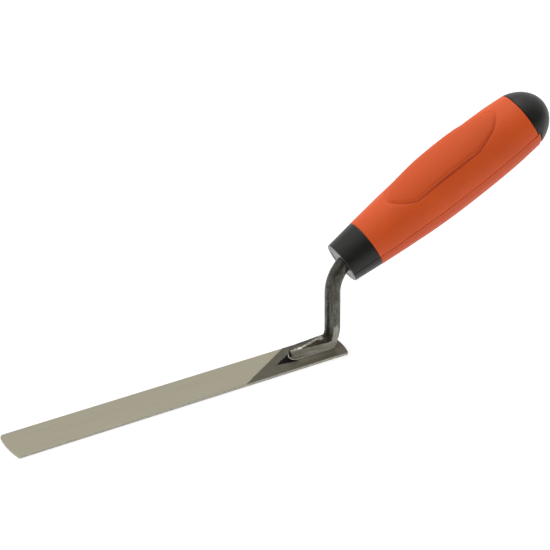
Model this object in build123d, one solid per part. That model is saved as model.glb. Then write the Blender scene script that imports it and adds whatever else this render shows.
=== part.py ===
from build123d import *

import os
from math import atan, cos, radians, sin, tan

# Margin trowel with a cranked round shank and a two-material handle.
# Lengths are in millimetres, angles in degrees.
# X runs from the blade's tip back towards the butt, Y runs across the blade and Z is up.
# The origin is on the blade's underside, on its centre line, straight below the axis of the upright neck.

# Blade
blade_length = 180.0
tip_width = 21.2
heel_width = 19.2
blade_thickness = 1.5
tip_crown = 1.2
heel_crown = 1.4
tip_corner_radius = 1.3
heel_corner_radius = 0.5
heel_corner_x = 3.4
grind_start_left_x = -53.6
grind_start_right_x = -22.6
grind_slope = 0.25

# Shank: foot, upright neck, bend and tang in one forged bar
neck_radius = 3.9
handle_tilt = 26.6
axis_crossing_z = 44.0
bend_radius = 20.0
tang_end_s = 90.0
tang_point_length = 9.0
tang_point_radius = 2.2
tang_wing_s = 62.0
tang_wing_length = 12.0
tang_wing_width = 11.6
tang_wing_thickness = 2.4
tang_wing_chamfer = 1.2
foot_toe_x = -24.1
foot_heel_x = 1.2
foot_half_width = 3.0
foot_toe_height = 4.2
foot_heel_height = 5.4
foot_cross_slope = 0.3
foot_edge_radius = 0.9
foot_toe_radius = 2.9
hammered_toe_low_y = -4.8
hammered_toe_high_y = 2.4
hammered_heel_y = -3.7
throat_radius = 2.5
throat_half_width = 2.2
throat_edge_radius = 0.5
cheek_top_z = 14.4
heel_corner = 0.2
heel_bevel_height = 3.6
heel_undercut_height = 2.9
heel_undercut_depth = 1.8

# Weld between the foot and the blade
weld_leg = 0.5

# Handle: s is the distance along the handle's axis from the collar's front face
collar_front_x = 5.1
handle_roll = 6.5
collar_length = 15.4
collar_front_radius = 10.75
collar_rear_radius = 12.5
collar_edge_radius = 0.5
collar_recess_radius = 8.0
collar_recess_depth = 0.2
collar_recess_bevel = 0.2
grip_end_s = 114.0
grip_profile = [
    (15.4, 12.6), (30.0, 13.85), (46.0, 15.3), (62.0, 16.2), (80.0, 16.5), (100.0, 15.95), (114.0, 14.9)
]
core_radius = 10.6
core_rib_count = 6
core_rib_width = 2.4
core_rib_height = 1.0
cap_centre_s = 109.0
cap_axial_radius = 19.3
cap_radius = 15.45
cap_spigot_radius = 6.0
cap_spigot_length = 14.0
cap_snap_height = 0.35
cap_snap_length = 2.0
lower_lip_length = 1.3
lower_lip_depth = 2.5

# Raised pad on the grip's back, seen along the mould's draw
pad_profile = [(33.0, 14.6), (46.0, 15.95), (60.0, 17.2), (72.0, 17.5), (86.0, 17.05), (105.0, 15.85)]
pad_front_s = 45.8
pad_front_width = 10.05
pad_rear_s = 84.8
pad_rear_width = 10.6
pad_nose = [(41.0, 7.7), (37.6, 5.0), (34.6, 0.0)]
pad_tail = [(93.4, 8.3), (98.8, 5.6), (103.2, 0.0)]
pad_groove_width = 0.9
pad_groove_depth = 0.35

# Parting line round the mouldings
parting_width = 0.35
parting_depth = 0.3

# The handle's axis, which meets the neck's axis at axis_crossing_z
tilt_cos = cos(radians(handle_tilt))
tilt_sin = sin(radians(handle_tilt))
collar_front_z = axis_crossing_z + collar_front_x * tan(radians(handle_tilt))
handle_plane = Plane(
    origin=(collar_front_x, 0, collar_front_z),
    x_dir=(-tilt_sin, 0, tilt_cos),
    z_dir=(tilt_cos, 0, tilt_sin),
)
handle_place = handle_plane.location * Rot(0, 0, handle_roll)

# The foot's top and flanks as slopes
foot_slope = (foot_heel_height - foot_toe_height) / (foot_heel_x - foot_toe_x)
flank_lean = (neck_radius - foot_half_width) / (cheek_top_z - blade_thickness)

# Helpers for cutting and joining bodies
big = 60.0
overlap = 0.15
cheek_clearance = 0.03
foot_blank_height = 10.0


def on_handle_axis(s):
    """The point on the handle's axis at distance s behind the collar's front face."""
    return (collar_front_x + s * tilt_cos, 0, collar_front_z + s * tilt_sin)


def make_blade():
    """Flat blade with crowned ends, ground thinner from a slanting line forwards to the tip."""
    tip_x = heel_corner_x - blade_length
    edge_left = Line((tip_x, -tip_width / 2), (heel_corner_x, -heel_width / 2))
    edge_right = Line((heel_corner_x, heel_width / 2), (tip_x, tip_width / 2))
    heel = ThreePointArc(edge_left @ 1, (heel_corner_x + heel_crown, 0), edge_right @ 0)
    tip = ThreePointArc(edge_right @ 1, (tip_x - tip_crown, 0), edge_left @ 0)
    blank = extrude(make_face([edge_left, heel, edge_right, tip]), blade_thickness)
    uprights = blank.edges().filter_by(Axis.Z).sort_by(Axis.X)
    blank = fillet(uprights[:2], tip_corner_radius)
    blank = fillet(blank.edges().filter_by(Axis.Z).sort_by(Axis.X)[-2:], heel_corner_radius)
    start_left = Vector(grind_start_left_x, -heel_width / 2, blade_thickness)
    start_right = Vector(grind_start_right_x, heel_width / 2, blade_thickness)
    forwards = Vector(0, 0, 1).cross(start_right - start_left).normalized()
    ground_normal = forwards * sin(radians(grind_slope)) + Vector(0, 0, cos(radians(grind_slope)))
    ground = Plane(origin=start_left, z_dir=ground_normal)
    return split(blank, bisect_by=ground, keep=Keep.BOTTOM)


def foot_outline(margin=0.0, heel_x=foot_heel_x):
    """Outline of the foot from its round toe to heel_x, grown by margin all round."""
    length = heel_x - foot_toe_x + 2 * margin
    middle_x = (heel_x + foot_toe_x) / 2
    outline = Rectangle(length, 2 * (foot_half_width + margin))
    outline = fillet(outline.vertices().sort_by(Axis.X)[:2], foot_toe_radius + margin)
    return Pos(middle_x, 0, blade_thickness) * outline


def foot_top_z(x):
    """Height of the foot's sloping top at x."""
    return blade_thickness + foot_toe_height + foot_slope * (x - foot_toe_x)


def hammered_section(x, low_y, high_y):
    """Section across the foot at x of the metal driven off its left flank, outside a leaning line."""
    top = foot_blank_height
    outline = Polyline((low_y, 0), (high_y, top), (-top, top), close=True)
    return Plane(origin=(x, 0, 0), x_dir=(0, 1, 0), z_dir=(1, 0, 0)) * make_face(outline)


def make_foot():
    """Forged foot. Its top climbs to the neck and to the right, and its left flank lies back at the toe."""
    growth = flank_lean * foot_blank_height
    foot = loft([foot_outline(), Pos(0, 0, foot_blank_height) * foot_outline(growth)])
    toe_top = Vector(foot_toe_x, 0, foot_top_z(foot_toe_x))
    top_side = Plane(origin=toe_top, z_dir=(-foot_slope, -foot_cross_slope, 1))
    foot = split(foot, bisect_by=top_side, keep=Keep.BOTTOM)
    foot -= loft([
        hammered_section(foot_toe_x - 1, hammered_toe_low_y, hammered_toe_high_y),
        hammered_section(foot_heel_x + 1, hammered_heel_y, hammered_heel_y),
    ])
    top = foot.faces().sort_by(Axis((0, 0, 0), top_side.z_dir))[-1]
    return fillet(top.edges().sort_by(Axis.X)[:-1], foot_edge_radius)


def make_throat():
    """Hollow-faced web that carries the foot's top up into the front of the neck."""
    lean = atan(foot_slope)
    neck_front_x = overlap - neck_radius
    start_x = neck_front_x - throat_radius * (1 - sin(lean))
    start = (start_x, foot_top_z(start_x))
    end = (neck_front_x, foot_top_z(start_x) + throat_radius * cos(lean))
    hollow = TangentArc(start, end, tangent=(cos(lean), sin(lean)))
    low_z = blade_thickness + weld_leg + foot_cross_slope * throat_half_width
    buried = Polyline(end, (0, end[1]), (0, low_z), (start_x, low_z), start)
    across = (0, 1, foot_cross_slope)
    plate = extrude(Plane.XZ * make_face([hollow, buried]), throat_half_width, dir=across, both=True)
    return fillet(plate.edges().filter_by(GeomType.CIRCLE), throat_edge_radius)


def make_tang():
    """Hidden end of the bar: a blunt point, and two swaged wings that stop it turning in the moulding."""
    end_plane = Plane(origin=on_handle_axis(tang_end_s), z_dir=handle_plane.z_dir)
    point = loft([
        end_plane * Circle(neck_radius),
        end_plane.offset(tang_point_length) * Circle(tang_point_radius),
    ])
    wing_plane = Plane(origin=on_handle_axis(tang_wing_s), x_dir=(0, 1, 0), z_dir=handle_plane.z_dir)
    wings = extrude(
        wing_plane * Rectangle(tang_wing_width, tang_wing_thickness),
        tang_wing_length / 2,
        both=True,
    )
    across = Axis(origin=(0, 0, 0), direction=(-tilt_sin, 0, tilt_cos))
    return point + chamfer(wings.edges().filter_by(across), tang_wing_chamfer)


def make_shank():
    """Foot, neck, bend and tang as one forging, dressed flat on both cheeks and at the heel of the foot."""
    neck_foot = (0, 0, blade_thickness)
    crossing = (0, 0, axis_crossing_z)
    route = FilletPolyline(neck_foot, crossing, on_handle_axis(tang_end_s), radius=bend_radius)
    bar = sweep(Plane(origin=neck_foot, z_dir=(0, 0, 1)) * Circle(neck_radius), path=route)

    # Each cheek is a flat on the side of the neck, in line with the foot's flank, up to cheek_top_z.
    for side in (-1, 1):
        cheek = Plane.YZ * make_face(Polyline(
            (side * (foot_half_width - cheek_clearance), blade_thickness),
            (side * (neck_radius + cheek_clearance), cheek_top_z),
            (side * big / 4, cheek_top_z),
            (side * big / 4, blade_thickness),
            close=True,
        ))
        bar -= extrude(cheek, big / 4, both=True)
    shank = bar + make_tang() + make_foot() + make_throat()

    # The back of the neck is dressed down to the heel of the foot, which is undercut for the weld.
    back = Plane.XZ * make_face(Polyline(
        (neck_radius + heel_corner, cheek_top_z),
        (foot_heel_x - heel_corner, blade_thickness + heel_bevel_height),
        (foot_heel_x, blade_thickness + heel_undercut_height),
        (foot_heel_x - heel_undercut_depth, blade_thickness),
        (big / 4, blade_thickness),
        (big / 4, cheek_top_z),
        close=True,
    ))
    return shank - extrude(back, big / 4, both=True)


def make_welds(shank):
    """Fillet weld round the foot, laid as one run down each side that meet at the toe and the heel."""
    run = foot_outline(weld_leg, foot_heel_x - heel_undercut_depth)
    bead = extrude(run, weld_leg, taper=45) - shank
    halves = {}
    for name, side in (("weld_left", -1), ("weld_right", 1)):
        half_space = Pos(0, side * big / 2, 0) * Box(2 * big, big, big)
        halves[name] = bead & half_space
    return halves


def revolved(outline):
    """Solid of revolution about the handle's axis from a closed outline of lines in (radius, s)."""
    return revolve(Plane.XZ * make_face(outline), Axis.Z)


def body_inside(profile, growth=0.0):
    """Solid inside a smooth surface of revolution through (s, radius) stations, moved outwards by growth."""
    side = Spline([(radius + growth, s) for s, radius in profile])
    closing = Polyline(side @ 1, (0, profile[-1][0]), (0, profile[0][0]), side @ 0)
    return revolved([side, closing])


def mirrored(stations):
    """The stations of a half outline that lie off the centre line, mirrored across it, in reverse order."""
    return [(s, -width) for s, width in reversed(stations) if width > 0]


def pad_prism(margin=0.0):
    """The pad's outline carried straight out along the mould's draw, grown by margin."""
    widening = 1 + margin / pad_rear_width
    nose = [(s - margin, width * widening) for s, width in pad_nose]
    tail = [(s + margin, width * widening) for s, width in pad_tail]
    nose.insert(0, (pad_front_s, pad_front_width * widening))
    tail.insert(0, (pad_rear_s, pad_rear_width * widening))
    front = Spline(nose + mirrored(nose))
    rear = Spline(list(reversed(tail + mirrored(tail))))
    outline = make_face([front, Line(front @ 1, rear @ 0), rear, Line(rear @ 1, front @ 0)])
    draw_plane = Plane(origin=(0, 0, 0), x_dir=(0, 0, 1), z_dir=(1, 0, 0))
    return extrude(draw_plane * outline, big / 2)


def parting_plate():
    """Thin plate along the parting plane, which cuts the moulding's line on both sides of the handle."""
    return Pos(0, 0, big) * Box(parting_width, big, 4 * big)


def make_core(shank):
    """Hard moulding: the collar in front, and the ribbed tube under the grip, moulded on the tang."""
    rim = collar_edge_radius
    collar_slope = (collar_rear_radius - collar_front_radius) / collar_length
    outline = Polyline(
        (0, collar_recess_depth),
        (collar_recess_radius - collar_recess_bevel, collar_recess_depth),
        (collar_recess_radius, 0),
        (collar_front_radius - rim, 0),
        (collar_front_radius + collar_slope * rim, rim),
        (collar_rear_radius, collar_length),
        (core_radius, collar_length),
        (core_radius, grip_end_s),
        (0, grip_end_s),
        close=True,
    )
    core = revolved([outline])
    ribs_length = grip_end_s - collar_length - 2 * core_rib_width
    for i in range(core_rib_count):
        rib = Pos(core_radius, 0, (collar_length + grip_end_s) / 2) * Box(
            2 * core_rib_height, core_rib_width, ribs_length
        )
        core += Rot(0, 0, (i + 0.5) * 360 / core_rib_count) * rib
    inner = revolved([Polyline(
        (0, -1),
        (collar_front_radius - parting_depth, -1),
        (collar_rear_radius - parting_depth, collar_length),
        (0, collar_length),
        close=True,
    )])
    front = Pos(0, 0, collar_length / 2) * Cylinder(big / 2, collar_length)
    core -= (parting_plate() & front) - inner
    core -= make_spigot(cap_snap_height)
    return (handle_place * core) - shank


def make_grip(core):
    """Soft sleeve moulded over the core, with the raised pad and the parting line down its sides."""
    groove = (pad_prism(pad_groove_width) - pad_prism()) - body_inside(grip_profile, -pad_groove_depth)
    line = parting_plate() - body_inside(grip_profile, -parting_depth)
    pad = body_inside(pad_profile) & pad_prism()
    grip = body_inside(grip_profile) - groove - line + pad + make_lower_lip()
    hollow = Pos(0, 0, grip_end_s / 2) * Cylinder(core_radius, grip_end_s)
    return (handle_place * (grip - hollow)) - core


def make_lower_lip():
    """Lip on the lower half of the grip's end, below the parting plane, let into the cap's edge."""
    outer = cap_body()
    inner = Pos(0, 0, grip_end_s) * Cylinder(cap_radius - lower_lip_depth, big)
    band = Pos(0, 0, grip_end_s + lower_lip_length / 2) * Box(big, big, lower_lip_length)
    below = Pos(-big / 2, 0, grip_end_s) * Box(big, big, big)
    return (outer & band & below) - inner


def cap_body():
    """Solid inside the cap's domed surface, from the end of the grip to the butt."""
    dome = Ellipse(cap_radius, cap_axial_radius)
    quarter = Pos(cap_radius / 2, (grip_end_s - cap_centre_s) + cap_axial_radius / 2) * Rectangle(
        cap_radius, cap_axial_radius
    )
    section = Pos(0, cap_centre_s) * (dome & quarter)
    return revolve(Plane.XZ * section, Axis.Z)


def make_spigot(snap_height):
    """Round spigot that presses the cap into the core, with a snap ring near its end."""
    start_s = grip_end_s - cap_spigot_length
    spigot = Pos(0, 0, start_s + cap_spigot_length / 2) * Cylinder(cap_spigot_radius, cap_spigot_length)
    ring = Cylinder(cap_spigot_radius + snap_height, cap_snap_length)
    ring = Pos(0, 0, start_s + 2 * cap_snap_length) * ring
    return spigot + ring


def make_cap():
    """Hard domed cap for tapping with, pressed into the end of the core."""
    cap = cap_body() + make_spigot(cap_snap_height) - make_lower_lip()
    return handle_place * cap


shank = make_shank()
core = make_core(shank)
nodes = {
    "blade": make_blade(),
    "shank": shank,
    **make_welds(shank),
    "handle_core": core,
    "grip_sleeve": make_grip(core),
    "end_cap": make_cap(),
}
os.makedirs("parts", exist_ok=True)
for name, solid in nodes.items():
    export_step(solid, f"parts/{name}.step")
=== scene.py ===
import math

import bmesh
import bpy
from mathutils import Matrix, Vector, noise


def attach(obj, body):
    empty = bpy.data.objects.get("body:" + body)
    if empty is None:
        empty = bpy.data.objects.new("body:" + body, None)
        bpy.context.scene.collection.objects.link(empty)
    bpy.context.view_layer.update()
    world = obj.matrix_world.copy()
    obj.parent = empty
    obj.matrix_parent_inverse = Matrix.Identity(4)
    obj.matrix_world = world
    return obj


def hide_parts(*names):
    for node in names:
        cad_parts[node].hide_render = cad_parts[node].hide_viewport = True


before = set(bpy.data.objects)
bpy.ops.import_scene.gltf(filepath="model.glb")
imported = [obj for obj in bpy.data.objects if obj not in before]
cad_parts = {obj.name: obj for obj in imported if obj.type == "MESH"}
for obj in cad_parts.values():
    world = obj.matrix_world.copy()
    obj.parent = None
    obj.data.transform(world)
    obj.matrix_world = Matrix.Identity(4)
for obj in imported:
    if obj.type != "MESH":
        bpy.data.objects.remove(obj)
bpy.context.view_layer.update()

# Looks of the margin trowel. Lengths are in millimetres and become metres in to_metres().
# The main dimensions repeat those of the CAD model. The tip's corners are worn unevenly, and the grip's
# profile and the edge of its pad are a little fuller.
MM = 0.001

# Blade
blade_length = 180.0
tip_width = 21.2
heel_width = 19.2
blade_thickness = 1.5
tip_crown = 1.2
heel_crown = 1.4
tip_near_corner_radius = 0.5
tip_far_corner_radius = 1.9
heel_corner_radius = 0.5
heel_corner_x = 3.4
grind_start_left_x = -53.6
grind_start_right_x = -22.6
grind_slope = math.radians(0.25)
blade_edge_bevel = 0.22

# Painted shadow of the foot's toe, drawn as a black wedge on the blade, and rust beside the foot, as (x, y),
# the wedge's corners anticlockwise
painted_toe_shadow_corners = [(-33.4, -2.4), (-22.0, -4.5), (-23.6, 3.4)]
rust_place = (-13.0, -8.0)

# Foot, neck and weld
foot_toe_x = -24.1
foot_half_width = 3.0
foot_toe_radius = 2.9
weld_end_x = -0.6
weld_bead_radius = 0.37
cheek_top_z = 14.4
ridge_route = [
    (-24.0, -0.1), (-21.2, -0.5), (-18.9, -0.7), (-16.5, -0.5), (-12.1, 0.35), (-8.0, 1.2), (-4.0, 1.6),
]
ridge_half_width = 0.55
forging_voxel = 0.24

# Finishes of the forging, with its painted highlight and painted shade: each (from, to) is the span of x or z
# over which one sets in
foot_z = (9.0, 6.5)
heel_x = (0.0, -2.0)
ridge_toe_x = (-23.2, -19.0)
ridge_bright_x = (-13.0, -16.5)
ridge_heel_x = (-5.5, -8.0)
hollow_x = (-20.5, -17.0)
hollow_widens_x = (-9.0, -6.0)
toe_top_x = (-16.0, -20.0)
toe_face_x = (-23.0, -23.8)
web_front_x = (-7.5, -6.5)
web_rear_x = (-4.0, -5.0)
throat_x = (-5.6, -4.6)
throat_top_z = (11.5, 8.5)
throat_bottom_z = (4.6, 5.4)
front_top_z = (12.5, 8.5)
front_x = (-12.0, -8.0)

# Height over the axis crossing at which the forging is inside the handle and its relief fades out
hidden_height = (6.0, 8.0)

# Handle: s is the distance along its axis from the collar's front face
handle_tilt = math.radians(26.6)
handle_roll = math.radians(6.5)
axis_crossing_z = 44.0
collar_front_x = 5.1
collar_length = 15.4
grip_start_s = 15.45
grip_end_s = 114.0
lower_lip_length = 1.3
core_radius = 10.6
cap_centre_s = 109.0
cap_axial_radius = 19.3
cap_radius = 15.45
spigot_radius = 6.0
spigot_length = 14.0
parting_half_width = 0.28
grip_profile = [
    (15.4, 12.58), (24.0, 13.45), (35.0, 14.55), (46.0, 15.45), (56.0, 16.05),
    (68.0, 16.38), (80.0, 16.46), (90.0, 16.38), (100.0, 16.05), (108.0, 15.47), (115.4, 14.75),
]
pad_outline = [
    (34.6, 0.0), (37.6, 5.0), (41.0, 7.7), (45.8, 10.05),
    (84.8, 10.6), (93.4, 8.3), (98.8, 5.6), (103.2, 0.0),
]
pad_half_width = 10.0
pad_edge_lift = 0.75
pad_height_profile = [
    (33.0, 0.35), (46.0, 0.75), (60.0, 1.1), (72.0, 1.1), (86.0, 0.85), (96.0, 0.6), (105.0, 0.35),
]


def to_metres(x, y, z):
    return Vector((x * MM, y * MM, z * MM))


def smooth(value, low, high):
    """Smooth step from 0 at low to 1 at high."""
    t = min(max((value - low) / (high - low), 0.0), 1.0)
    return t * t * (3 - 2 * t)


def through(stations, position):
    """Smooth curve through (position, value) stations, flat beyond the ends."""
    if position <= stations[0][0]:
        return stations[0][1]
    for i in range(len(stations) - 1):
        (a, value_a), (b, value_b) = stations[i], stations[i + 1]
        if position <= b:
            before = stations[max(i - 1, 0)]
            after = stations[min(i + 2, len(stations) - 1)]
            slope_a = (value_b - before[1]) / (b - before[0])
            slope_b = (after[1] - value_a) / (after[0] - a)
            t = (position - a) / (b - a)
            span = b - a
            return (
                value_a * (2 * t ** 3 - 3 * t ** 2 + 1)
                + slope_a * span * (t ** 3 - 2 * t ** 2 + t)
                + value_b * (3 * t ** 2 - 2 * t ** 3)
                + slope_b * span * (t ** 3 - t ** 2)
            )
    return stations[-1][1]


# Light: radiance of the tent's two sides, the direction of its bright side, and the cosines to that direction
# between which the tent changes from dark to bright
tent_bright_side = (-0.1, 0.8, 0.6)
tent_bright = 0.95
tent_dark = 0.15
tent_turns_dark = -0.3
tent_turns_bright = 0.5
floor_glow = 0.68


# ---------------------------------------------------------------- meshes

def add_object(name, mesh, material, replaced):
    """Links a piece that rides on the only body and stands for one CAD node."""
    piece = bpy.data.objects.new(name, mesh)
    bpy.context.scene.collection.objects.link(piece)
    mesh.materials.clear()
    mesh.materials.append(material)
    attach(piece, "root")
    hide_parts(replaced)
    return piece


def shade(mesh, sharp_angle):
    """Smooth shading, with edges sharper than the angle in degrees kept sharp."""
    mesh.polygons.foreach_set("use_smooth", [True] * len(mesh.polygons))
    mesh.set_sharp_from_angle(angle=math.radians(sharp_angle))


def store(mesh, name, values):
    """Keeps one number for each vertex, for the materials."""
    attribute = mesh.attributes.new(name, "FLOAT", "POINT")
    attribute.data.foreach_set("value", values)


def ring_mesh(name, rings, closed=False):
    """Skin over rings of equal length. One point makes a pole. Closed joins the last ring to the first."""
    vertices, starts = [], []
    for ring in rings:
        starts.append(len(vertices))
        vertices.extend(ring)
    faces = []
    pairs = len(rings) if closed else len(rings) - 1
    for i in range(pairs):
        j = (i + 1) % len(rings)
        count = max(len(rings[i]), len(rings[j]))
        for k in range(count):
            n = (k + 1) % count
            a, b = starts[i] + k % len(rings[i]), starts[i] + n % len(rings[i])
            c, d = starts[j] + n % len(rings[j]), starts[j] + k % len(rings[j])
            corners = [a, b, c, d]
            face = [v for index, v in enumerate(corners) if v not in corners[:index]]
            faces.append(face)
    mesh = bpy.data.meshes.new(name)
    mesh.from_pydata(vertices, [], faces)
    mesh.validate()
    return mesh


def outward_mesh(name, rings, closed=False):
    """Skin over rings with its faces turned outwards."""
    mesh = ring_mesh(name, rings, closed)
    bm = bmesh.new()
    bm.from_mesh(mesh)
    bmesh.ops.recalc_face_normals(bm, faces=bm.faces)
    bm.to_mesh(mesh)
    bm.free()
    return mesh


# ---------------------------------------------------------------- handle frame

axis_direction = Vector((math.cos(handle_tilt), 0, math.sin(handle_tilt)))
back_direction = Vector((-math.sin(handle_tilt), 0, math.cos(handle_tilt)))
near_direction = Vector((0, -1, 0))
axis_origin = Vector((collar_front_x, 0, axis_crossing_z + collar_front_x * math.tan(handle_tilt)))


def handle_point(s, radius, angle):
    """Point in metres at s along the handle's axis. The angle runs from the pad's middle to the near side."""
    turned = angle + handle_roll
    outwards = math.cos(turned) * back_direction + math.sin(turned) * near_direction
    return (axis_origin + s * axis_direction + radius * outwards) * MM


def spaced(breaks):
    """Stations from a start and (end, step) spans. Each span is cut in equal steps close to its step."""
    stations = [breaks[0]]
    for end, step in breaks[1:]:
        start = stations[-1]
        count = max(1, round((end - start) / step))
        stations.extend(start + (end - start) * (i + 1) / count for i in range(count))
    return stations


def handle_angles():
    """Angles round the handle in degrees, closer together at the pad's sides and at the parting lines."""
    half = spaced([0.0, (33.0, 1.1), (46.0, 0.45), (88.6, 1.3), (91.4, 0.2), (180.0, 1.6)])
    return [math.radians(a) for a in half[:-1]] + [-math.radians(a) for a in reversed(half[1:])]


def groove(offset, half_width):
    """Rounded groove profile, 1 in its middle and 0 beyond its half width."""
    return smooth(half_width - abs(offset), 0.0, half_width)


def parting_offset(radius, angle):
    """Distance in millimetres round the handle to the nearer parting line."""
    return radius * (abs(angle) - math.pi / 2)


def arc_stations(centre_s, centre_r, radius, start, end, count):
    """Stations (s, r) on an arc in the section plane, from start to end in degrees, for rounded rims."""
    stations = []
    for i in range(count + 1):
        turn = math.radians(start + (end - start) * i / count)
        stations.append((centre_s + radius * math.cos(turn), centre_r + radius * math.sin(turn)))
    return stations


# ---------------------------------------------------------------- node graphs

class Graph:
    """Short names for building one material's nodes."""

    def __init__(self, name):
        self.material = bpy.data.materials.new(name)
        self.material.use_nodes = True
        self.tree = self.material.node_tree
        self.shader = self.tree.nodes["Principled BSDF"]
        coordinates = self.tree.nodes.new("ShaderNodeTexCoord")
        self.mm = self.vector("SCALE", coordinates.outputs["Object"], scale=1 / MM)

    def put(self, socket, value):
        if isinstance(value, bpy.types.NodeSocket):
            self.tree.links.new(value, socket)
        elif isinstance(value, tuple) and len(value) == 3 and len(socket.default_value) == 4:
            socket.default_value = (*value, 1.0)
        else:
            socket.default_value = value

    def vector(self, operation, a, b=None, scale=None):
        node = self.tree.nodes.new("ShaderNodeVectorMath")
        node.operation = operation
        self.put(node.inputs[0], a)
        if b is not None:
            self.put(node.inputs[1], b)
        if scale is not None:
            self.put(node.inputs["Scale"], scale)
        return node.outputs["Value" if operation in ("DOT_PRODUCT", "LENGTH") else "Vector"]

    def math(self, operation, a, b=None, clamp=False):
        node = self.tree.nodes.new("ShaderNodeMath")
        node.operation = operation
        node.use_clamp = clamp
        self.put(node.inputs[0], a)
        if b is not None:
            self.put(node.inputs[1], b)
        return node.outputs[0]

    def noise(self, scale, detail=3.0, roughness=0.5, vector=None, stretch=None):
        """Noise between 0 and 1. The scale is in cycles per millimetre."""
        vector = vector or self.mm
        if stretch:
            vector = self.vector("MULTIPLY", vector, stretch)
        node = self.tree.nodes.new("ShaderNodeTexNoise")
        self.put(node.inputs["Vector"], vector)
        node.inputs["Scale"].default_value = scale
        node.inputs["Detail"].default_value = detail
        node.inputs["Roughness"].default_value = roughness
        return node.outputs["Fac"]

    def between(self, value, low, high, to_low=0.0, to_high=1.0):
        """Smooth ramp of value from low to high."""
        node = self.tree.nodes.new("ShaderNodeMapRange")
        node.interpolation_type = "SMOOTHSTEP"
        self.put(node.inputs["Value"], value)
        node.inputs["From Min"].default_value = low
        node.inputs["From Max"].default_value = high
        node.inputs["To Min"].default_value = to_low
        node.inputs["To Max"].default_value = to_high
        return node.outputs["Result"]

    def mix(self, factor, a, b, blend="MIX"):
        node = self.tree.nodes.new("ShaderNodeMix")
        node.data_type = "RGBA"
        node.blend_type = blend
        self.put(node.inputs["Factor"], factor)
        self.put(node.inputs["A_Color"] if "A_Color" in node.inputs else node.inputs[6], a)
        self.put(node.inputs["B_Color"] if "B_Color" in node.inputs else node.inputs[7], b)
        return node.outputs[2]

    def stored(self, name):
        node = self.tree.nodes.new("ShaderNodeAttribute")
        node.attribute_name = name
        return node.outputs["Fac"]

    def normal_part(self, axis):
        """One part of the surface normal, in the object's own axes."""
        node = self.tree.nodes.new("ShaderNodeTexCoord")
        return self.vector("DOT_PRODUCT", node.outputs["Normal"], axis)

    def position(self, axis):
        """One coordinate of the place on the object, in millimetres."""
        return self.vector("DOT_PRODUCT", self.mm, axis)

    def bump(self, height, distance, normal=None, strength=1.0):
        """Bump whose full height is the distance, in millimetres."""
        node = self.tree.nodes.new("ShaderNodeBump")
        node.inputs["Strength"].default_value = strength
        node.inputs["Distance"].default_value = distance * MM
        self.put(node.inputs["Height"], height)
        if normal is not None:
            self.put(node.inputs["Normal"], normal)
        return node.outputs["Normal"]

    def finish(self, colour, roughness, normal, **constants):
        self.put(self.shader.inputs["Base Color"], colour)
        self.put(self.shader.inputs["Roughness"], roughness)
        self.put(self.shader.inputs["Normal"], normal)
        for name, value in constants.items():
            self.shader.inputs[name.replace("_", " ")].default_value = value
        return self.material


# ---------------------------------------------------------------- materials

def orange_grip_material():
    """Soft-touch elastomer with a fine matte grain, a little deeper in colour on the pad, with painted shade
    on the lower half, in the creases and at the grip's ends.
    """
    orange = (0.73, 0.092, 0.0092)
    light_orange = (0.79, 0.104, 0.0122)
    speck_colour = (0.80, 0.14, 0.035)
    pad_orange = (0.69, 0.089, 0.0095)
    painted_underside_shade = (0.56, 0.062, 0.0055)
    painted_crease_shade_colour = (0.22, 0.018, 0.004)

    g = Graph("orange_soft_touch")
    cloud = g.noise(0.05, 4.0)
    speck = g.noise(1.6, 5.0, 0.6)
    grain = g.noise(4.5, 3.0, 0.6)
    colour = g.mix(g.between(cloud, 0.3, 0.7), orange, light_orange)
    colour = g.mix(g.between(speck, 0.35, 0.75, 0.0, 0.12), colour, speck_colour)
    colour = g.mix(g.math("MULTIPLY", g.stored("pad"), 0.8), colour, pad_orange)
    # Painted shade: the lower half, below the parting lines, is darkened.
    colour = g.mix(g.math("MULTIPLY", g.stored("under"), 0.6), colour, painted_underside_shade)
    # Painted shade in the parting lines, along the pad's edge line and at the grip's two ends.
    colour = g.mix(g.math("MULTIPLY", g.stored("painted_crease_shade"), 0.75), colour, painted_crease_shade_colour)
    roughness = g.between(speck, 0.25, 0.75, 0.50, 0.62)
    roughness = g.math("ADD", roughness, g.math("MULTIPLY", g.stored("pad"), 0.06))
    normal = g.bump(grain, 0.035)
    normal = g.bump(g.noise(0.5, 3.0), 0.03, normal)
    return g.finish(colour, roughness, normal, Specular_IOR_Level=0.33)


def black_plastic_material():
    """Hard moulding with a fine spark-eroded texture and faint handling marks."""
    black = (0.0046, 0.0045, 0.0031)
    marked_black = (0.0080, 0.0077, 0.0056)
    grain_colour = (0.020, 0.0205, 0.019)

    g = Graph("black_plastic")
    marks = g.noise(0.22, 5.0, 0.6)
    grain = g.noise(3.2, 4.0, 0.65)
    colour = g.mix(g.between(marks, 0.35, 0.7), black, marked_black)
    colour = g.mix(g.between(grain, 0.55, 0.8, 0.0, 0.35), colour, grain_colour)
    roughness = g.between(marks, 0.3, 0.7, 0.38, 0.46)
    roughness = g.math("SUBTRACT", roughness, g.math("MULTIPLY", g.stored("face"), 0.2))
    normal = g.bump(grain, 0.05)
    normal = g.bump(g.noise(0.35, 2.0), 0.05, normal)
    return g.finish(colour, roughness, normal, Specular_IOR_Level=0.37)


def grind_line():
    """A point on the slanting line where the grinding starts, and the direction from there to the tip."""
    start = Vector((grind_start_left_x, -heel_width / 2, 0))
    run = Vector((grind_start_right_x, heel_width / 2, 0)) - start
    return start, Vector((-run.y, run.x, 0)).normalized()


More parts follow.
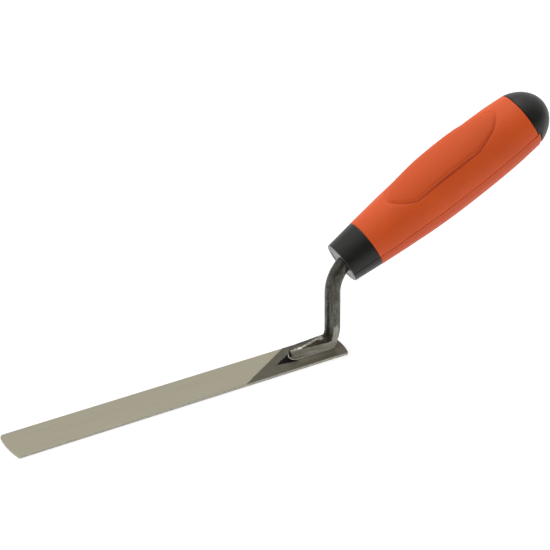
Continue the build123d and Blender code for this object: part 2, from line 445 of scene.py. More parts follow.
def blade_material():
    """Ground steel in front of the slanting line, dark mill finish behind it, with a painted shadow of the
    foot's toe and painted light beside the foot and towards the heel.
    """
    ground_deep = (0.333, 0.307, 0.230)
    ground_light = (0.368, 0.341, 0.258)
    scratch_colour = (0.285, 0.262, 0.20)
    mill_deep = (0.092, 0.082, 0.055)
    mill_light = (0.106, 0.095, 0.065)
    mill_streak = (0.088, 0.080, 0.059)
    rust_colour = (0.13, 0.088, 0.052)
    painted_light_near_heel_colour = (0.150, 0.136, 0.098)
    painted_light_colour_by_foot = (0.225, 0.207, 0.155)
    black_scale_and_shadow_colour = (0.006, 0.0055, 0.0045)
    edge_deep = (0.31, 0.296, 0.252)
    edge_light = (0.41, 0.395, 0.342)

    g = Graph("blade_steel")
    start, forwards = grind_line()
    waver = g.noise(0.35, 3.0)
    ahead = g.vector("DOT_PRODUCT", g.vector("SUBTRACT", g.mm, tuple(start)), tuple(forwards))
    ahead = g.math("ADD", ahead, g.between(waver, 0.0, 1.0, -0.25, 0.25))
    ground = g.between(ahead, -0.12, 0.12)

    streak = g.noise(1.0, 5.0, 0.7, stretch=(0.03, 2.4, 1.0))
    scratch = g.noise(1.0, 3.0, 0.75, stretch=(0.12, 9.0, 1.0))
    patch = g.noise(0.16, 4.0, 0.55)
    bright = g.mix(g.between(streak, 0.3, 0.7), ground_deep, ground_light)
    bright = g.mix(g.between(scratch, 0.58, 0.75, 0.0, 0.35), bright, scratch_colour)

    dark = g.mix(g.between(patch, 0.35, 0.65), mill_deep, mill_light)
    dark = g.mix(g.between(streak, 0.45, 0.75, 0.0, 0.5), dark, mill_streak)
    rust_away = g.vector("LENGTH", g.vector("SUBTRACT", g.mm, (*rust_place, blade_thickness)))
    rust = g.math("MULTIPLY", g.between(rust_away, 6.0, 0.5), g.between(g.noise(0.6, 4.0, 0.7), 0.4, 0.65))
    dark = g.mix(g.math("MULTIPLY", rust, 0.55), dark, rust_colour)
    from_flank = g.math("SUBTRACT", g.math("ABSOLUTE", g.position((0, 1, 0))), foot_half_width)
    along = g.position((1, 0, 0))
    # Painted light: the dark finish is lightened towards the heel, away from the foot, against the darkening
    # that the neck casts on the blade.
    painted_light_near_heel = g.math("MULTIPLY", g.between(from_flank, 0.0, 2.0, 0.0, 0.75), g.between(along, -17.0, -3.0))
    dark = g.mix(painted_light_near_heel, dark, painted_light_near_heel_colour)
    # Painted light: the dark finish is lightened in a strip beside the foot, against the shade that the foot
    # casts there.
    brushed = g.math("MULTIPLY", g.between(from_flank, 5.5, 0.5, 0.0, 0.9), g.between(along, 1.0, -2.0))
    brushed = g.math("MULTIPLY", brushed, g.between(along, -25.0, -19.0))
    dark = g.mix(brushed, dark, painted_light_colour_by_foot)
    colour = g.mix(ground, dark, bright)

    # Painted shadow of the foot's toe, a black wedge on the blade
    painted_toe_shadow = painted_toe_shadow_mask(g)
    colour = g.mix(painted_toe_shadow, colour, black_scale_and_shadow_colour)
    side = g.between(g.math("ABSOLUTE", g.normal_part((0, 0, 1))), 0.75, 0.35)
    edge_tone = g.mix(g.between(g.noise(0.8, 4.0), 0.35, 0.65), edge_deep, edge_light)
    colour = g.mix(side, colour, edge_tone)

    roughness = g.between(ground, 0.0, 1.0, 0.46, 0.36)
    roughness = g.math("ADD", roughness, g.between(streak, 0.3, 0.7, -0.03, 0.05))
    roughness = g.math("ADD", roughness, g.math("MULTIPLY", painted_toe_shadow, 0.25))
    normal = g.bump(scratch, 0.012)
    normal = g.bump(g.noise(1.0, 3.0, 0.6, stretch=(0.05, 0.35, 1.0)), 0.02, normal)
    normal = g.bump(g.math("MULTIPLY", g.noise(2.5, 4.0, 0.6), g.math("SUBTRACT", 1.0, ground)), 0.02, normal)
    bare = g.math("MAXIMUM", g.math("MAXIMUM", ground, side), painted_toe_shadow)
    g.put(g.shader.inputs["Metallic"], g.between(bare, 0.0, 1.0, 0.4, 1.0))
    return g.finish(colour, roughness, normal, Specular_IOR_Level=0.25)


def painted_toe_shadow_mask(g):
    """Painted shadow: a black wedge on the blade, before and beside the foot's toe."""
    corners = [Vector((x, y, 0)) for x, y in painted_toe_shadow_corners]
    depths = []
    for i, corner in enumerate(corners):
        along = corners[(i + 1) % len(corners)] - corner
        inwards = Vector((-along.y, along.x, 0)).normalized()
        depths.append(g.vector("DOT_PRODUCT", g.vector("SUBTRACT", g.mm, tuple(corner)), tuple(inwards)))
    inside = g.math("MINIMUM", g.math("MINIMUM", depths[0], depths[1]), depths[2])
    inside = g.math("ADD", inside, g.between(g.noise(0.9, 4.0, 0.6), 0.0, 1.0, -0.5, 0.5))
    on_top = g.between(g.normal_part((0, 0, 1)), 0.5, 0.9)
    return g.math("MULTIPLY", g.between(inside, -0.15, 0.35), on_top)


def forged_material():
    """Forged bar with dark scale, bright where the flanks were dressed and along the ridge from wear with a
    painted highlight, with painted light low on the foot's flanks and painted shade at the neck's foot and
    front.
    """
    scale_deep = (0.068, 0.068, 0.057)
    scale_light = (0.128, 0.129, 0.112)
    scale_brown = (0.070, 0.061, 0.045)
    scale_fleck = (0.17, 0.168, 0.148)
    scale_pit = (0.034, 0.031, 0.024)
    heat_light = (0.075, 0.066, 0.055)
    heat_deep = (0.040, 0.034, 0.026)
    dressed_deep = (0.30, 0.29, 0.23)
    dressed_light = (0.43, 0.42, 0.35)
    dressed_brown = (0.24, 0.205, 0.15)
    flank_deep = (0.235, 0.225, 0.175)
    flank_light = (0.43, 0.42, 0.355)
    flank_grit = (0.46, 0.445, 0.38)
    flank_heel = (0.52, 0.51, 0.44)
    painted_light_low_flank = (0.84, 0.82, 0.71)
    flank_toe = (0.225, 0.205, 0.15)
    band_deep = (0.024, 0.018, 0.011)
    band_light = (0.085, 0.067, 0.045)
    ridge_wear_and_highlight_colour = (0.80, 0.77, 0.66)
    black_scale_and_shadow_colour = (0.026, 0.024, 0.018)

    g = Graph("forged_steel")
    upright = g.noise(1.0, 4.0, 0.6, stretch=(0.8, 0.8, 0.07))
    lengthwise = g.noise(1.0, 4.0, 0.6, stretch=(0.12, 1.1, 1.1))
    on_foot = g.stored("on_foot")
    off_foot = g.math("SUBTRACT", 1.0, on_foot)
    streak = g.math("ADD", g.math("MULTIPLY", lengthwise, on_foot), g.math("MULTIPLY", upright, off_foot))
    patch = g.noise(0.16, 4.0, 0.6)
    fleck = g.noise(2.2, 4.0, 0.65)
    grit = g.noise(1.3, 4.0, 0.7)
    along = g.position((1, 0, 0))
    height = g.position((0, 0, 1))

    colour = g.mix(g.between(streak, 0.34, 0.6), scale_deep, scale_light)
    colour = g.mix(g.between(patch, 0.48, 0.64, 0.0, 0.7), colour, scale_brown)
    colour = g.mix(g.between(fleck, 0.60, 0.74, 0.0, 0.4), colour, scale_fleck)
    colour = g.mix(g.between(g.noise(0.9, 4.0, 0.7), 0.46, 0.34, 0.0, 0.8), colour, scale_pit)
    heat_tint = g.mix(g.between(patch, 0.4, 0.6), heat_light, heat_deep)
    colour = g.mix(g.between(height, 33.0, 44.0, 0.0, 0.65), colour, heat_tint)

    dressed_tone = g.mix(g.between(grit, 0.35, 0.65), dressed_deep, dressed_light)
    dressed_tone = g.mix(g.between(patch, 0.5, 0.66, 0.0, 0.6), dressed_tone, dressed_brown)
    colour = g.mix(g.stored("dressed"), colour, dressed_tone)

    flank_tone = g.mix(g.between(streak, 0.35, 0.65), flank_deep, flank_light)
    flank_tone = g.mix(g.between(grit, 0.45, 0.7, 0.0, 0.6), flank_tone, flank_grit)
    flank_tone = g.mix(g.between(along, -9.0, -2.0, 0.0, 0.6), flank_tone, flank_heel)
    # Painted light: the flanks' lower part is made much brighter, against the shade where the foot meets the
    # blade.
    flank_tone = g.mix(g.between(height, 4.4, 1.8, 0.0, 0.85), flank_tone, painted_light_low_flank)
    flank_tone = g.mix(g.between(along, -12.0, -21.0, 0.0, 0.75), flank_tone, flank_toe)
    colour = g.mix(g.stored("flank"), colour, flank_tone)

    # Dark scale in the hollow, beyond the ridge and on the toe's face, with painted shade in the concave
    # corner at the neck's foot and on the neck's front
    band_tone = g.mix(g.between(grit, 0.4, 0.65), band_deep, band_light)
    colour = g.mix(g.stored("scale_and_painted_shade"), colour, band_tone)
    # The ridge: real wear, with a painted highlight over it.
    ridge = g.math("MULTIPLY", g.stored("ridge"), g.between(grit, 0.38, 0.58))
    colour = g.mix(ridge, colour, ridge_wear_and_highlight_colour)
    mottle = g.between(g.noise(0.5, 5.0, 0.75, stretch=(1.0, 1.0, 0.45)), 0.50, 0.60)
    front_side = g.between(g.normal_part((-0.94, 0.34, 0)), 0.45, 0.85)
    blackened = g.math("MULTIPLY", g.math("MULTIPLY", mottle, front_side), off_foot)
    colour = g.mix(g.math("MULTIPLY", blackened, 0.8), colour, black_scale_and_shadow_colour)

    roughness = g.between(g.stored("dressed"), 0.0, 1.0, 0.33, 0.5)
    roughness = g.math("ADD", roughness, g.between(streak, 0.3, 0.7, 0.06, -0.04))
    roughness = g.math("ADD", roughness, g.math("MULTIPLY", g.stored("scale_and_painted_shade"), 0.2))
    roughness = g.math("ADD", roughness, g.math("MULTIPLY", g.stored("flank"), 0.15))
    normal = g.bump(fleck, 0.03)
    normal = g.bump(streak, 0.05, normal)
    normal = g.bump(g.math("MULTIPLY", grit, g.stored("dressed")), 0.08, normal)
    metal = g.between(g.stored("dressed"), 0.0, 1.0, 0.92, 0.4)
    g.put(g.shader.inputs["Metallic"], g.math("SUBTRACT", metal, g.math("MULTIPLY", g.stored("flank"), 0.2)))
    return g.finish(colour, roughness, normal)


def weld_material():
    """Bare weld metal, brushed clean, with darker heat tint in the ripples."""
    bead = (0.42, 0.40, 0.34)
    light_bead = (0.66, 0.62, 0.55)
    tinted_bead = (0.20, 0.185, 0.15)

    g = Graph("weld_metal")
    tint = g.noise(0.9, 4.0, 0.6)
    colour = g.mix(g.between(tint, 0.35, 0.65), bead, light_bead)
    colour = g.mix(g.between(g.noise(2.6, 3.0), 0.55, 0.75, 0.0, 0.5), colour, tinted_bead)
    normal = g.bump(g.noise(2.2, 4.0, 0.6), 0.06)
    return g.finish(colour, g.between(tint, 0.3, 0.7, 0.45, 0.6), normal, Metallic=0.3)


def floor_material():
    """Pale paper on a light table, with a barely visible tooth."""
    paper = (0.49, 0.49, 0.49)
    light_paper = (0.51, 0.51, 0.51)

    g = Graph("studio_paper")
    tooth = g.noise(0.9, 3.0)
    colour = g.mix(g.between(tooth, 0.3, 0.7), paper, light_paper)
    return g.finish(
        colour, 0.9, g.bump(tooth, 0.02), Specular_IOR_Level=0.1,
        Emission_Color=(1.0, 1.0, 1.0, 1.0), Emission_Strength=floor_glow,
    )


# ---------------------------------------------------------------- blade

def make_blade():
    """Flat strip with crowned ends and rounded corners, ground thinner ahead of the slanting line."""
    tip_x = heel_corner_x - blade_length
    corner_room = 1.5
    same_place = 1e-6
    rim_angle = 1.2

    def end_arc(corner_x, half_width, crown, near_radius, far_radius, count=24):
        """Points (x, y) of a crowned end from its near corner to its far corner, with room to round both."""
        radius = (half_width ** 2 + crown ** 2) / (2 * abs(crown))
        half_turn = math.asin(half_width / radius)
        centre_x = corner_x + crown - math.copysign(radius, crown)
        points = []
        for i in range(count + 1):
            turn = half_turn * (2 * i / count - 1)
            x = centre_x + math.copysign(radius, crown) * math.cos(turn)
            points.append((x, radius * math.sin(turn)))
        near_y = corner_room * near_radius - half_width
        far_y = half_width - corner_room * far_radius
        return [points[0]] + [p for p in points if near_y < p[1] < far_y] + [points[-1]]

    heel = end_arc(heel_corner_x, heel_width / 2, heel_crown, heel_corner_radius, heel_corner_radius)
    tip = end_arc(tip_x, tip_width / 2, -tip_crown, tip_near_corner_radius, tip_far_corner_radius)
    bm = bmesh.new()
    floor_ring = [bm.verts.new(to_metres(x, y, 0)) for x, y in heel + tip[::-1]]
    bottom = bm.faces.new(floor_ring)
    lifted = bmesh.ops.extrude_face_region(bm, geom=[bottom])
    top_verts = [v for v in lifted["geom"] if isinstance(v, bmesh.types.BMVert)]
    bmesh.ops.translate(bm, verts=top_verts, vec=to_metres(0, 0, blade_thickness))
    bmesh.ops.recalc_face_normals(bm, faces=bm.faces)

    for corner_x, corner_y, radius in (
        (heel_corner_x, -heel_width / 2, heel_corner_radius),
        (heel_corner_x, heel_width / 2, heel_corner_radius),
        (tip_x, -tip_width / 2, tip_near_corner_radius),
        (tip_x, tip_width / 2, tip_far_corner_radius),
    ):
        corners = [
            e for e in bm.edges
            if abs(e.verts[0].co.z - e.verts[1].co.z) > MM
            and abs(e.verts[0].co.x - corner_x * MM) < same_place
            and abs(e.verts[0].co.y - corner_y * MM) < same_place
        ]
        bmesh.ops.bevel(bm, geom=corners, offset=radius * MM, segments=6, profile=0.5, affect="EDGES")
    rim = [
        e for e in bm.edges
        if len(e.link_faces) == 2 and abs(e.verts[0].co.z - e.verts[1].co.z) < same_place
        and e.calc_face_angle() > rim_angle
    ]
    bmesh.ops.bevel(bm, geom=rim, offset=blade_edge_bevel * MM, segments=2, profile=0.5, affect="EDGES")

    start, forwards = grind_line()
    everything = list(bm.verts) + list(bm.edges) + list(bm.faces)
    bmesh.ops.bisect_plane(bm, geom=everything, plane_co=start * MM, plane_no=forwards)
    for vertex in bm.verts:
        ahead = (vertex.co - start * MM).dot(forwards)
        if vertex.co.z > 0.5 * blade_thickness * MM and ahead > 0:
            vertex.co.z -= ahead * math.tan(grind_slope)
    mesh = bpy.data.meshes.new("blade_plate")
    bm.to_mesh(mesh)
    bm.free()
    shade(mesh, 12)
    return add_object("blade_plate", mesh, blade_material(), "blade")


# ---------------------------------------------------------------- shank and welds

def forging_finish(p, normal):
    """How much of each finish, painted highlight and painted shade the forging has at p, in millimetres, and
    how far its skin moves there.
    """
    foot_grain = Vector((0.25, 0.8, 0.8))
    neck_grain = Vector((0.7, 0.7, 0.2))
    on_foot = smooth(p.z, *foot_z)
    on_top = smooth(normal.z, 0.6, 0.85) * on_foot
    beside_ridge = p.y - through(ridge_route, p.x) - 0.25 * noise.noise(p * 0.8)

    # The ridge along the foot's top, bright from real wear with a painted highlight, and the hollow that
    # hammering left beside it
    wear_and_highlight_span = smooth(p.x, *ridge_toe_x) * smooth(p.x, *ridge_heel_x)
    wear_and_highlight_span *= 0.45 + 0.55 * smooth(p.x, *ridge_bright_x)
    ridge = math.exp(-(beside_ridge / ridge_half_width) ** 2) * on_top * wear_and_highlight_span
    near_side = smooth(beside_ridge + 1.6 * smooth(p.x, *hollow_widens_x), 0.0, -0.8)
    hollow = near_side * on_top * smooth(p.x, *hollow_x)

    # Relief: lumps drawn out along the grain, fine pits, a chipped ridge and a coarse hollow
    grain = foot_grain.lerp(neck_grain, 1 - on_foot)
    lumps = 0.08 * noise.noise(Vector((p.x * grain.x, p.y * grain.y, p.z * grain.z)))
    pits = 0.03 * noise.noise(p * 1.4)
    chips = 0.20 * ridge * (0.3 + noise.noise(p * 1.8))
    coarse = (0.12 * noise.noise(p * 1.1) - 0.15) * hollow
    seen = 1 - smooth(p.z - axis_crossing_z, *hidden_height)
    move = (lumps + pits + chips + coarse) * seen

    # Steel dressed bright: the foot's flanks, the neck's cheeks, the toe's top and the web before the neck
    upright = smooth(normal.z, 0.85, 0.65) * on_foot
    flank = upright * max(smooth(-normal.y, 0.3, 0.5), smooth(abs(normal.y), 0.6, 0.8))
    cheek_end = cheek_top_z + 0.6 + 1.4 * noise.noise(p * 0.7)
    cheek = smooth(abs(normal.y), 0.90, 0.97) * smooth(p.z, cheek_end, cheek_end - 1.5)
    toe_top = 0.55 * on_top * smooth(p.x, *toe_top_x) * smooth(beside_ridge, 0.4, -0.2)
    web = 0.6 * on_top * smooth(p.x, *web_front_x) * smooth(p.x, *web_rear_x)
    web *= smooth(beside_ridge, -2.2, -1.2)

    # Scale left dark: the hollow, beyond the ridge and under the toe's edge. Painted shade: the concave
    # corner where the neck meets the foot, and the neck's front.
    before_heel = smooth(p.x, *heel_x)
    # Painted shade in the concave corner where the neck meets the foot
    painted_throat_shade = smooth(p.x, *throat_x) * smooth(p.z, *throat_top_z) * smooth(p.z, *throat_bottom_z) * before_heel
    painted_throat_shade *= max(smooth(abs(normal.y), 0.8, 0.6), smooth(abs(p.y), 2.85, 2.6))
    # Painted shade on the neck's front face, low down where it turns to the foot
    front = smooth(-normal.x, 0.2, 0.7) * smooth(p.z, *front_top_z) * smooth(p.x, *front_x) * before_heel
    beyond = 0.45 * on_top * smooth(beside_ridge, 0.4, 1.1)
    toe_face = 0.7 * smooth(-normal.x, 0.5, 0.9) * smooth(p.x, *toe_face_x) * smooth(p.z, 3.0, 4.2)
    masks = {
        "dressed": max(flank, cheek, toe_top, web),
        "flank": flank,
        "ridge": ridge,
        "scale_and_painted_shade": max(hollow, painted_throat_shade, beyond, front, toe_face),
        "on_foot": on_foot,
    }
    return masks, move


def make_shank():
    """The CAD forging, softened and made uneven as hammered steel is, with masks for its finishes, its
    painted highlight and its painted shade.
    """
    piece = bpy.data.objects.new("forged_shank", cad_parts["shank"].data.copy())
    bpy.context.scene.collection.objects.link(piece)
    remesh = piece.modifiers.new("remesh", "REMESH")
    remesh.mode = "VOXEL"
    remesh.voxel_size = forging_voxel * MM
    soften = piece.modifiers.new("soften", "SMOOTH")
    soften.factor = 0.5
    soften.iterations = 3
    evaluated = piece.evaluated_get(bpy.context.evaluated_depsgraph_get())
    mesh = bpy.data.meshes.new_from_object(evaluated)
    bpy.data.objects.remove(piece)

    masks = {"dressed": [], "flank": [], "ridge": [], "scale_and_painted_shade": [], "on_foot": []}
    moves = []
    for vertex in mesh.vertices:
        values, move = forging_finish(vertex.co / MM, vertex.normal)
        moves.append(vertex.normal * move * MM)
        for name, value in values.items():
            masks[name].append(value)
    for vertex, move in zip(mesh.vertices, moves):
        vertex.co += move
    for name, values in masks.items():
        store(mesh, name, values)
    mesh.polygons.foreach_set("use_smooth", [True] * len(mesh.polygons))
    mesh.name = "forged_shank"
    return add_object("forged_shank", mesh, forged_material(), "shank")


def weld_route(side, spacing=0.22):
    """Points (x, y) round one side of the foot, from the middle of its heel to the middle of its toe."""
    points = []
    heel_steps = max(1, round(foot_half_width / spacing))
    points += [(weld_end_x, foot_half_width * i / heel_steps) for i in range(heel_steps)]
    straight = weld_end_x - foot_toe_x - foot_toe_radius
    steps = round(straight / spacing)
    points += [(weld_end_x - straight * i / steps, foot_half_width) for i in range(steps)]
    arc_steps = round(foot_toe_radius * math.pi / 2 / spacing)
    for i in range(arc_steps + 1):
        turn = math.pi / 2 * i / arc_steps
        x = foot_toe_x + foot_toe_radius * (1 - math.sin(turn))
        points.append((x, foot_half_width - foot_toe_radius * (1 - math.cos(turn))))
    points.append((foot_toe_x, 0.0))
    return [(x, side * y) for x, y in points]


def make_weld(name, side, node, material):
    """Thin rippled bead that follows the foot's outline and sinks into the foot and the blade."""
    route = weld_route(side)
    sides = 12
    centre_out = 0.05
    centre_height = blade_thickness + 0.06
    rings = []
    for i, (x, y) in enumerate(route):
        before = Vector(route[max(i - 1, 0)])
        after = Vector(route[min(i + 1, len(route) - 1)])
        along = (after - before).normalized()
        outwards = Vector((along.y, -along.x)) * side
        place = Vector((x, y, 0))
        ripple = 0.05 * math.sin(i * 1.15) + 0.09 * noise.noise(place * 0.9) + 0.05 * noise.noise(place * 3.1)
        radius = weld_bead_radius + ripple
        ring = []
        for k in range(sides):
            turn = 2 * math.pi * k / sides
            out = centre_out + radius * math.cos(turn)
            height = centre_height + radius * math.sin(turn)
            ring.append(to_metres(x + outwards.x * out, y + outwards.y * out, height))
        rings.append(ring)
    first = sum(rings[0], Vector()) / sides
    last = sum(rings[-1], Vector()) / sides
    mesh = outward_mesh(name, [[first], *rings, [last]])
    shade(mesh, 60)
    return add_object(name, mesh, material, node)


# ---------------------------------------------------------------- handle

def lathe_rings(stations, angles, change=None):
    """Rings round the handle's axis. A station on the axis is a single point."""
    rings = []
    for s, radius in stations:
        if radius == 0:
            rings.append([handle_point(s, 0, 0)])
            continue
        ring = []
        for angle in angles:
            offset_s, offset_r = change(s, radius, angle) if change else (0.0, 0.0)
            ring.append(handle_point(s + offset_s, radius + offset_r, angle))
        rings.append(ring)
    return rings


def make_collar(material):
    """Hard moulding: recessed front face with a fine ring line, conical side, and the hidden tube behind."""
    front_radius = 10.75
    rear_radius = 12.5
    recess_radius = 7.9
    recess_depth = 0.2
    ring_line_radius = 9.1
    ring_line_depth = 0.2
    parting_depth = 0.22
    rim = 0.45
    tube_end_s = grip_end_s - 1.0
    cone = (rear_radius - front_radius) / collar_length

    stations = [(recess_depth, 0)]
    stations += [(recess_depth, r) for r in spaced([2.0, (recess_radius - 0.5, 1.0)])]
    stations += [(recess_depth - 0.03, recess_radius - 0.1), (0.03, recess_radius + 0.15)]
    stations += [(0.0, recess_radius + 0.3)]
    stations += [(ring_line_depth * groove(r - ring_line_radius, 0.3), r) for r in spaced([8.6, (9.5, 0.1)])]
    stations += arc_stations(rim, front_radius - rim + cone * rim, rim, 180, 95, 6)
    stations += [(s, front_radius + cone * s) for s in spaced([0.8, (collar_length - 0.25, 0.6)])]
    stations += [(collar_length - 0.08, rear_radius - 0.08), (collar_length, rear_radius - 0.25)]
    stations += [(collar_length, core_radius), (tube_end_s, core_radius), (tube_end_s, 0)]

    def part_line(s, radius, angle):
        if radius < front_radius - rim or s > collar_length - 0.01:
            return 0.0, 0.0
        return 0.0, -parting_depth * groove(parting_offset(radius, angle), parting_half_width)

    mesh = outward_mesh("collar_moulding", lathe_rings(stations, handle_angles(), part_line))
    along = [(v.co / MM - axis_origin).dot(axis_direction) for v in mesh.vertices]
    store(mesh, "face", [smooth(s, 0.45, 0.3) for s in along])
    shade(mesh, 40)
    return add_object("collar_moulding", mesh, material, "handle_core")


def pad_polygon():
    """The pad's outline as (s, width) points on its near half: curved nose, straight side, curved tail."""
    def side_of_curve(part):
        """Half of the curve through the part and its mirror image. The part ends on the mirror line."""
        mirrored = part + [(s, -w) for s, w in reversed(part[:-1])]
        curve = centripetal(mirrored, 10)
        return curve[:len(curve) // 2 + 1]

    nose = pad_outline[:4]
    tail = pad_outline[4:]
    return side_of_curve(nose[::-1])[::-1] + side_of_curve(tail)


def centripetal(points, steps):
    """Smooth curve through points, close to the one that the CAD model's spline takes."""
    extended = [points[0]] + points + [points[-1]]
    curve = []
    for i in range(1, len(extended) - 2):
        a, b, c, d = (Vector(p) for p in extended[i - 1:i + 3])
        for k in range(steps):
            t = k / steps
            curve.append(0.5 * (
                2 * b + (c - a) * t + (2 * a - 5 * b + 4 * c - d) * t ** 2
                + (3 * b - a - 3 * c + d) * t ** 3
            ))
    curve.append(Vector(points[-1]))
    return curve


def signed_distance(point, polygon):
    """Distance from a point to the pad's outline, negative inside. The polygon is the near half."""
    best = 1e9
    for a, b in zip(polygon, polygon[1:]):
        edge = b - a
        t = min(max((point - a).dot(edge) / edge.length_squared, 0.0), 1.0)
        best = min(best, (point - a - edge * t).length_squared)
    inside = False
    if polygon[0].x < point.x < polygon[-1].x:
        for a, b in zip(polygon, polygon[1:]):
            if a.x <= point.x <= b.x:
                inside = point.y < a.y + (b.y - a.y) * (point.x - a.x) / max(b.x - a.x, 1e-9)
                break
    return -math.sqrt(best) if inside else math.sqrt(best)


def pad_relief(s, radius, angle, polygon):
    """Height of pad and valley over the plain grip, how far the point is on the pad, and its edge line."""
    reach_cosine = 0.3
    reach_start_s = 30.0
    reach_end_s = 108.0
    reach_width = 14.0
    edge_line_width = 0.35
    shoulder_width = 1.9
    shoulder_share = 0.8

    nothing = (0.0, 0.0, 0.0)
    if math.cos(angle) < reach_cosine or not reach_start_s < s < reach_end_s:
        return nothing
    width = abs(radius * math.sin(angle))
    if width > reach_width:
        return nothing
    distance = signed_distance(Vector((s, width)), polygon)
    end_part = smooth(width, 9.6, 5.0)
    edge_line = math.exp(-(distance / edge_line_width) ** 2) * (1 - 0.7 * end_part)
    valley_depth = 0.36 + 0.06 * end_part
    valley_width = 0.8 + 0.9 * end_part
    if distance > 0:
        rise = min(distance / valley_width, 1.0)
        return -valley_depth * (1 - rise) ** 2 * (1 + 2 * rise), 0.0, edge_line
    lift = pad_edge_lift * smooth(s, 40.0, 58.0) * smooth(s, 94.0, 76.0)
    height = through(pad_height_profile, s) * (1 + lift * (width / pad_half_width) ** 2)
    shoulder = 1 - (1 - min(-distance / shoulder_width, 1.0)) ** 2.4
    crown = 1 - (1 - min(-distance / pad_half_width, 1.0)) ** 2
    rise = shoulder_share * shoulder + (1 - shoulder_share) * crown
    return -valley_depth + (height + valley_depth) * rise, smooth(-distance, 0.0, 0.8), edge_line


def make_grip():
    """Soft sleeve: barrel profile, thumb pad in its valley, parting lines, and a longer lip below them."""
    parting_depth = 0.26
    front_rounding = 0.30
    rear_rounding = 0.22
    end_notch_depth = 0.5
    lip_draft = 0.55
    inner_radius = core_radius + 0.1
    lip_angle = (math.radians(90.6), math.radians(91.6))
    under_angle = (math.radians(91.0), math.radians(97.0))
    stations = spaced([
        grip_start_s, (15.9, 0.09), (17.0, 0.35), (33.0, 0.8), (47.0, 0.33), (84.0, 0.8), (104.5, 0.33),
        (112.0, 0.8), (113.6, 0.3), (grip_end_s, 0.08),
    ])

    angles = handle_angles()
    polygon = pad_polygon()
    rings, pad, painted_crease_shade, under = [], [], [], []
    for s in stations:
        base = through(grip_profile, s)
        jog = 0.25 * (smooth(s, 29.0, 30.0) - 1) + 0.12 * noise.noise(Vector((s * 0.2, 0, 0)))
        front_round = smooth(s, grip_start_s + 0.4, grip_start_s)
        rear_round = smooth(s, grip_end_s - 0.35, grip_end_s)
        ring = []
        for angle in angles:
            relief, on_pad, edge_line = pad_relief(s, base, angle, polygon)
            line = groove(parting_offset(base, angle) + jog, parting_half_width)
            lower = smooth(abs(angle), *lip_angle)
            radius = base + relief - parting_depth * line
            radius -= front_rounding * front_round + rear_rounding * rear_round
            radius -= end_notch_depth * line * smooth(s, 110.0, grip_end_s)
            radius -= lip_draft * lower * smooth(s, 112.0, grip_end_s)
            radius += 0.03 * noise.noise(handle_point(s, base, angle) / MM * 0.12)
            lip = lower_lip_length * lower * smooth(s, 104.0, grip_end_s)
            ring.append(handle_point(s + lip, radius, angle))
            pad.append(on_pad)
            # Painted shade on the lower half, below the parting lines
            under.append(smooth(abs(angle), *under_angle))
            # Painted shade in the parting lines, along the pad's edge line and at the grip's two ends
            painted_crease_shade.append(min(1.0, 0.8 * line + 0.45 * edge_line + 0.5 * rear_round + 0.35 * front_round))
        rings.append(ring)
    for s in (grip_end_s, grip_start_s):
        rings.append([handle_point(s, inner_radius, angle) for angle in angles])
        pad += [0.0] * len(angles)
        painted_crease_shade += [0.0] * len(angles)
        under += [0.0] * len(angles)
    mesh = outward_mesh("soft_grip", rings, closed=True)
    store(mesh, "pad", pad)
    store(mesh, "painted_crease_shade", painted_crease_shade)
    store(mesh, "under", under)
    shade(mesh, 50)
    return add_object("soft_grip", mesh, orange_grip_material(), "grip_sleeve")


def make_cap(material):
    """Domed striking cap, its front edge stepped back below the parting line for the grip's lip."""
    start_s = grip_end_s + 0.12
    dome_turns_s = 118.0
    dome_steps = 44
    notch_depth = 0.5
    notch_end_s = 115.6
    spigot_end_s = grip_end_s - spigot_length
    spigot_chamfer = 0.5
    step_angle = (math.radians(90.0), math.radians(91.0))

    def dome_radius(s):
        return cap_radius * math.sqrt(max(0.0, 1 - ((s - cap_centre_s) / cap_axial_radius) ** 2))

    stations = [(spigot_end_s, 0), (spigot_end_s, spigot_radius - spigot_chamfer)]
    stations += [(spigot_end_s + spigot_chamfer, spigot_radius), (start_s, spigot_radius)]
    for past_start, inset in ((0.0, 0.55), (0.05, 0.28), (0.16, 0.1)):
        stations.append((start_s + past_start, dome_radius(start_s) - inset))
    stations += [(s, dome_radius(s)) for s in spaced([start_s + 0.4, (dome_turns_s, 0.3)])]
    turn_start = math.asin((dome_turns_s - cap_centre_s) / cap_axial_radius)
    for i in range(1, dome_steps):
        turn = turn_start + (math.pi / 2 - turn_start) * i / dome_steps
        stations.append((cap_centre_s + cap_axial_radius * math.sin(turn), cap_radius * math.cos(turn)))
    stations.append((cap_centre_s + cap_axial_radius, 0))

    def step_back(s, radius, angle):
        lower = smooth(abs(angle), *step_angle)
        shift = lower_lip_length * lower * smooth(s, dome_turns_s, start_s)
        if s < start_s or radius < spigot_radius + 0.1:
            return 0.0, 0.0
        shrink = dome_radius(s + shift) - dome_radius(s)
        notch = groove(parting_offset(radius, angle) - 0.15, 0.5) * smooth(s, notch_end_s, start_s)
        return shift, shrink - notch_depth * notch

    mesh = outward_mesh("end_cap_dome", lathe_rings(stations, handle_angles(), step_back))
    shade(mesh, 40)
    return add_object("end_cap_dome", mesh, material, "end_cap")


# ---------------------------------------------------------------- stage, light and camera

def make_floor():
    """Wide floor, a hair below the blade. Lengths here are in metres."""
    mesh = bpy.data.meshes.new("studio_floor")
    half = 6.0
    level = -0.0001
    corners = [(-half, -half, level), (half, -half, level), (half, half, level), (-half, half, level)]
    mesh.from_pydata(corners, [], [(0, 1, 2, 3)])
    floor = bpy.data.objects.new("studio_floor", mesh)
    bpy.context.scene.collection.objects.link(floor)
    mesh.materials.append(floor_material())


def area_light(name, position, target, size, radiance):
    """Rectangular softbox of an even radiance, aimed at the target. Lengths here are in metres."""
    light = bpy.data.lights.new(name, "AREA")
    light.shape = "RECTANGLE"
    light.size, light.size_y = size
    light.energy = radiance * size[0] * size[1] * math.pi
    lamp = bpy.data.objects.new(name, light)
    lamp.location = position
    lamp.rotation_euler = (Vector(target) - Vector(position)).to_track_quat("-Z", "Y").to_euler()
    bpy.context.scene.collection.objects.link(lamp)


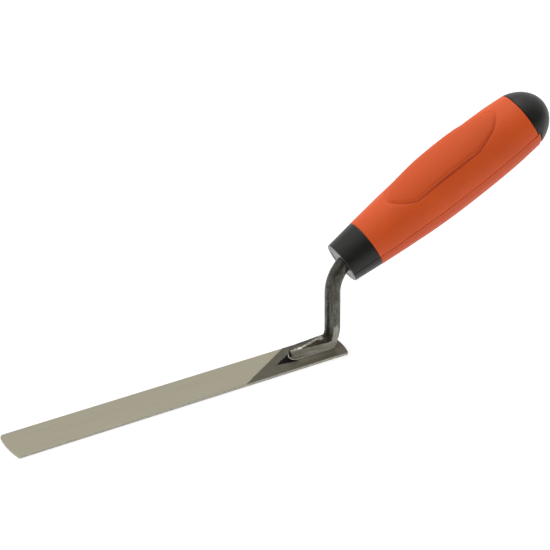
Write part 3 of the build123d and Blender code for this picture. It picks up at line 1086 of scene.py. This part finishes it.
def make_world():
    """Pale tent round the object: bright behind and above, dark on the side of the viewer."""
    world = bpy.data.worlds.new("tent")
    world.use_nodes = True
    nodes, links = world.node_tree.nodes, world.node_tree.links
    background = nodes["Background"]
    background.inputs["Color"].default_value = (1.0, 1.0, 1.0, 1.0)
    coordinates = nodes.new("ShaderNodeTexCoord")
    facing = nodes.new("ShaderNodeVectorMath")
    facing.operation = "DOT_PRODUCT"
    facing.inputs[1].default_value = Vector(tent_bright_side).normalized()
    ramp = nodes.new("ShaderNodeMapRange")
    ramp.interpolation_type = "SMOOTHSTEP"
    ramp.inputs["From Min"].default_value = tent_turns_dark
    ramp.inputs["From Max"].default_value = tent_turns_bright
    ramp.inputs["To Min"].default_value = tent_dark
    ramp.inputs["To Max"].default_value = tent_bright
    links.new(coordinates.outputs["Generated"], facing.inputs[0])
    links.new(facing.outputs["Value"], ramp.inputs["Value"])
    links.new(ramp.outputs["Result"], background.inputs["Strength"])
    bpy.context.scene.world = world


def make_lights():
    make_world()
    area_light(
        "overhead_softbox", position=(0.08, 0.5, 1.52), target=(0.0, 0.0, 0.05), size=(1.2, 1.0),
        radiance=1.5,
    )


def make_camera():
    """Long lens from the front left, above the blade's tip end."""
    azimuth = math.radians(-29.75)
    elevation = math.radians(30.98)
    roll = math.radians(-0.29)
    distance = 1.769
    shift_right = -0.02813
    shift_up = 0.03555
    forwards = Vector((
        -math.sin(azimuth) * math.cos(elevation),
        math.cos(azimuth) * math.cos(elevation),
        -math.sin(elevation),
    ))
    level_right = Vector((math.cos(azimuth), math.sin(azimuth), 0))
    level_up = level_right.cross(forwards)
    right = math.cos(roll) * level_right + math.sin(roll) * level_up
    up = math.cos(roll) * level_up - math.sin(roll) * level_right
    data = bpy.data.cameras.new("camera")
    data.sensor_width = 36.0
    data.lens = 235.6
    camera = bpy.data.objects.new("camera", data)
    camera.matrix_world = Matrix((right, up, -forwards)).transposed().to_4x4()
    camera.location = -forwards * distance + right * shift_right + up * shift_up
    bpy.context.scene.collection.objects.link(camera)
    bpy.context.scene.camera = camera


# ---------------------------------------------------------------- scene

bpy.context.scene.view_settings.view_transform = "Standard"
make_camera()
make_lights()
make_floor()
make_blade()
make_shank()
weld = weld_material()
make_weld("weld_bead_near", -1, "weld_left", weld)
make_weld("weld_bead_far", 1, "weld_right", weld)
plastic = black_plastic_material()
make_collar(plastic)
make_grip()
make_cap(plastic)
